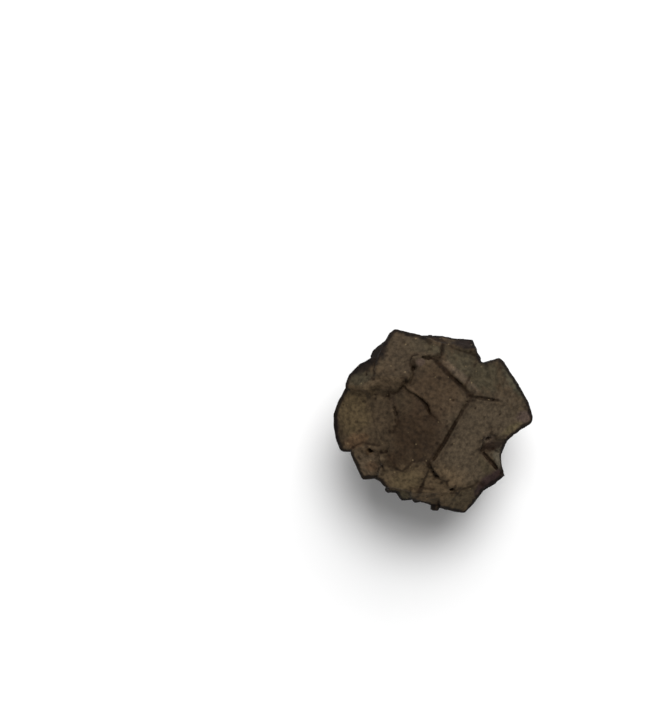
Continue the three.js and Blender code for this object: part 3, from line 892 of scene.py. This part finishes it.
@dataclass
class Stone:
    """The concretion: a worn, finely meshed skin over the CAD solid.

    Sizes are in millimetres. Rounds say how often the mesh is averaged before it is measured, and ramps say
    where a measure starts to count and where it counts fully. The tone key and factor only scramble a face's
    direction, so that each crystal's face gets a tone of its own.
    """

    voxel: float = 0.213
    rounding: int = 1
    merge_distance_m: float = 1e-7
    base_start: float = 0.05
    base_clearance: float = 0.9
    foot_normal: float = -0.8
    wear_rounds: int = 5
    wear_ramp: tuple[float, float] = (0.03, 0.16)
    fine_rounds: int = 4
    fine_ramp: tuple[float, float] = (0.012, 0.06)
    broad_rounds: int = 38
    broad_ramp: tuple[float, float] = (0.1, 0.6)
    broad_share: float = 0.5
    edge_ramp: tuple[float, float] = (0.02, 0.12)
    level_rounds: int = 4
    level_ramp: tuple[float, float] = (0.1, 0.75)
    tone_rounds: int = 2
    tone_key: tuple[float, float, float] = (12.9898, 78.233, 37.719)
    tone_factor: float = 43.758
    relief: Relief = field(default_factory=Relief)
    edges: EdgeFinder = field(default_factory=EdgeFinder)
    finish: WeatheredPyrite = field(default_factory=WeatheredPyrite)

    def build(self) -> bpy.types.Object:
        """Builds the worn stone and hides the CAD node that it stands for.

        Returns:
            The stone's object, in metres.
        """
        solid = self._merged_copy()
        low, high = self._limits(solid)
        tree = BVHTree.FromPolygons(
            [v.co for v in solid.vertices], [tuple(p.vertices) for p in solid.polygons]
        )
        stone = self._remeshed(solid)
        self._round_edges(stone.data)
        self._mark_wear(stone.data)
        self._wear(stone)
        self._seat(stone.data, low, high)
        self._mark_finish(stone.data, solid, tree)
        stone.data.transform(Matrix.Scale(MM, 4))
        stone.data.polygons.foreach_set("use_smooth", [True] * len(stone.data.polygons))
        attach(stone, BODY)
        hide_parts(NODE)
        log.info("%s: %d points, %d faces", stone.name, len(stone.data.vertices), len(stone.data.polygons))
        return stone

    def _merged_copy(self) -> bpy.types.Mesh:
        """Copies the CAD node's mesh with its corners merged, in millimetres.

        Returns:
            The merged mesh.
        """
        work = bmesh.new()
        work.from_mesh(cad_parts[NODE].data)
        bmesh.ops.remove_doubles(work, verts=work.verts, dist=self.merge_distance_m)
        bmesh.ops.scale(work, vec=(METRES_TO_MM,) * 3, verts=work.verts)
        mesh = bpy.data.meshes.new("solid_in_millimetres")
        work.to_mesh(mesh)
        work.free()
        return mesh

    def _limits(self, mesh: bpy.types.Mesh) -> tuple[np.ndarray, np.ndarray]:
        """Gives the lowest and highest corner of a mesh."""
        points = Fabric.of(mesh).points
        return points.min(0), points.max(0)

    def _remeshed(self, solid: bpy.types.Mesh) -> bpy.types.Object:
        """Rebuilds the solid as an even mesh that is fine enough to carry the wear.

        Args:
            solid: The solid, with merged corners.

        Returns:
            An object with the even mesh.
        """
        rough = bpy.data.objects.new("remesh_source", solid)
        bpy.context.scene.collection.objects.link(rough)
        remesh = rough.modifiers.new("even_mesh", "REMESH")
        remesh.mode = "VOXEL"
        remesh.voxel_size = self.voxel
        remesh.adaptivity = 0.0
        mesh = self._evaluated(rough)
        bpy.data.objects.remove(rough)
        mesh.name = "worn_stone"
        stone = bpy.data.objects.new("worn_stone", mesh)
        bpy.context.scene.collection.objects.link(stone)
        return stone

    def _evaluated(self, source: bpy.types.Object) -> bpy.types.Mesh:
        """Turns an object with live modifiers into a plain mesh."""
        graph = bpy.context.evaluated_depsgraph_get()
        return bpy.data.meshes.new_from_object(source.evaluated_get(graph), depsgraph=graph)

    def _round_edges(self, mesh: bpy.types.Mesh) -> None:
        """Takes the sharpness off the edges by averaging each point with its neighbours.

        Args:
            mesh: The mesh to round.
        """
        fabric = Fabric.of(mesh)
        rounded = fabric.averaged(fabric.points, self.rounding)
        mesh.vertices.foreach_set("co", rounded.ravel())
        mesh.update()

    def _mark_wear(self, mesh: bpy.types.Mesh) -> None:
        """Stores where the edges are, and where the stone is free of the ground and may be worn.

        Args:
            mesh: The mesh to mark.
        """
        fabric = Fabric.of(mesh)
        proud = -fabric.hollowness(vertex_normals(mesh), self.wear_rounds)
        keep_attribute(mesh, "edge", ramp(proud, *self.wear_ramp))
        keep_attribute(mesh, "free", ramp(fabric.points[:, 2], self.base_start, self.base_clearance))

    def _wear(self, stone: bpy.types.Object) -> None:
        """Wears the faces with the Geometry Nodes tree and leaves a plain mesh.

        Args:
            stone: The stone's object.
        """
        material = self.finish.build()
        stone.data.materials.append(material)
        tree = self.relief.tree(material)
        worn = stone.modifiers.new("crystal_wear", "NODES")
        worn.node_group = tree
        values = self.relief.sizes()
        for item in tree.interface.items_tree:
            if item.item_type == "SOCKET" and item.in_out == "INPUT" and item.name in values:
                worn[item.identifier] = values[item.name]
        mesh = self._evaluated(stone)
        stone.modifiers.remove(worn)
        stone.data = mesh

    def _seat(self, mesh: bpy.types.Mesh, low: np.ndarray, high: np.ndarray) -> None:
        """Keeps the worn stone inside the solid's own box, with its foot on the ground.

        Args:
            mesh: The worn mesh.
            low: The solid's lowest corner.
            high: The solid's highest corner.
        """
        points = Fabric.of(mesh).points
        foot = (points[:, 2] < self.voxel) & (vertex_normals(mesh)[:, 2] < self.foot_normal)
        points[foot, 2] = low[2]
        mesh.vertices.foreach_set("co", np.clip(points, low, high).ravel())
        mesh.update()

    def _mark_finish(self, mesh: bpy.types.Mesh, solid: bpy.types.Mesh, faces: BVHTree) -> None:
        """Stores what the finish needs: seams, edges, steep sides and a tone for each crystal's face.

        Args:
            mesh: The worn mesh.
            solid: The solid, with merged corners.
            faces: The solid's faces, to look up which one is nearest.
        """
        fabric = Fabric.of(mesh)
        normals = vertex_normals(mesh)
        fine = fabric.hollowness(normals, self.fine_rounds)
        broad = fabric.hollowness(normals, self.broad_rounds)
        # Broad hollows are where the finish paints shade; fine ones are creases for dirt and painted shade.
        broad_shade = self.broad_share * ramp(broad, *self.broad_ramp)
        cavity = np.maximum(ramp(fine, *self.fine_ramp), broad_shade)
        edge = ramp(-fine, *self.edge_ramp)
        keep_attribute(mesh, "cavity", fabric.averaged(cavity, 1))
        keep_attribute(mesh, "edge", fabric.averaged(edge, 1))
        # How steep the sides are, and where the brow lies: the finish paints shade there.
        upwards = fabric.averaged(normals, self.level_rounds)[:, 2]
        keep_attribute(mesh, "steep", 1 - ramp(upwards, *self.level_ramp))
        for kind in EdgeKind:
            keep_attribute(mesh, kind.value, self.edges.distances(solid, fabric.points, kind))
        tones = np.array([self._face_tone(faces, point) for point in fabric.points])
        keep_attribute(mesh, "crystal", fabric.averaged(tones, self.tone_rounds))

    def _face_tone(self, faces: BVHTree, point: np.ndarray) -> float:
        """Gives every point on one flat crystal face the same tone between 0 and 1.

        Args:
            faces: The solid's faces.
            point: The point.

        Returns:
            The tone.
        """
        _, normal, _, _ = faces.find_nearest(Vector(point))
        key = normal.dot(Vector(self.tone_key))
        return math.sin(round(key, 1) * self.tone_factor) * 0.5 + 0.5


# The studio


@dataclass(frozen=True)
class Lamp:
    """One soft light over the stone: how strong it is, how wide it looks and where it hangs, in degrees."""

    name: str
    strength: float
    angle: float
    elevation: float
    azimuth: float


@dataclass
class Studio:
    """The white sheet under the stone and the soft light over it."""

    sheet: StudioSheet = field(default_factory=StudioSheet)
    sheet_radius: float = 2.0
    sheet_sides: int = 64
    lamps: tuple[Lamp, ...] = (Lamp("key", 1.63, 30.0, 68.0, 75.0), Lamp("window", 1.99, 60.0, 45.0, 75.0))
    dome_strength: float = 0.313

    def build(self) -> None:
        """Builds the floor, the lamps and the dome."""
        self._floor()
        for lamp in self.lamps:
            self._hang(lamp)
        self._dome()

    def _floor(self) -> None:
        """Lays the white sheet that the stone rests on."""
        work = bmesh.new()
        bmesh.ops.create_circle(work, cap_ends=True, segments=self.sheet_sides, radius=self.sheet_radius)
        mesh = bpy.data.meshes.new("sheet")
        work.to_mesh(mesh)
        work.free()
        mesh.materials.append(self.sheet.build())
        floor = bpy.data.objects.new("sheet", mesh)
        bpy.context.scene.collection.objects.link(floor)
        log.info("sheet: %.1f m across", 2 * self.sheet_radius)

    def _hang(self, lamp: Lamp) -> None:
        """Hangs one lamp behind the stone's upper edge.

        Args:
            lamp: The lamp.
        """
        light = bpy.data.lights.new(lamp.name, "SUN")
        light.energy = lamp.strength
        light.angle = math.radians(lamp.angle)
        hung = bpy.data.objects.new(lamp.name, light)
        bpy.context.scene.collection.objects.link(hung)
        rise, turn = math.radians(lamp.elevation), math.radians(lamp.azimuth)
        towards = Vector((math.cos(rise) * math.cos(turn), math.cos(rise) * math.sin(turn), math.sin(rise)))
        hung.rotation_euler = towards.to_track_quat("Z", "Y").to_euler()
        log.info("%s: %.0f degrees wide", lamp.name, lamp.angle)

    def _dome(self) -> None:
        """Lights the scene evenly from all round, and shows white behind the sheet."""
        world = bpy.data.worlds.new("studio")
        world.use_nodes = True
        tree = world.node_tree
        tree.nodes.clear()
        seen = add_node(tree, "ShaderNodeLightPath").outputs["Is Camera Ray"]
        strength = maths(tree, "MAXIMUM", seen, self.dome_strength)
        white = (1.0, 1.0, 1.0, 1.0)
        background = add_node(tree, "ShaderNodeBackground", {"Color": white, "Strength": strength})
        add_node(tree, "ShaderNodeOutputWorld", {"Surface": background.outputs[0]})
        bpy.context.scene.world = world
        bpy.context.scene.view_settings.view_transform = "Standard"
        log.info("dome: strength %.2f", self.dome_strength)


@dataclass
class StudioCamera:
    """The camera straight above the sheet. The frame is 670 by 710 pixels."""

    distance: float = 1.6
    frame_height: float = 0.1158
    aim: tuple[float, float, float] = (-0.01602, 0.01077, 0.018)
    sensor: float = 36.0

    def build(self) -> bpy.types.Object:
        """Builds the camera and makes it the scene's own.

        Returns:
            The camera's object.
        """
        data = bpy.data.cameras.new("camera")
        data.sensor_width = self.sensor
        data.lens = self.sensor * self.distance / self.frame_height
        camera = bpy.data.objects.new("camera", data)
        bpy.context.scene.collection.objects.link(camera)
        camera.location = Vector(self.aim) + Vector((0, 0, self.distance))
        bpy.context.scene.camera = camera
        log.info("camera: %.0f mm lens", data.lens)
        return camera


def main() -> None:
    """Builds the scene in order."""
    logging.basicConfig(level=logging.INFO, format="%(name)s %(message)s")
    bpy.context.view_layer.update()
    StudioCamera().build()
    Stone().build()
    Studio().build()


if __name__ == "__main__":
    main()
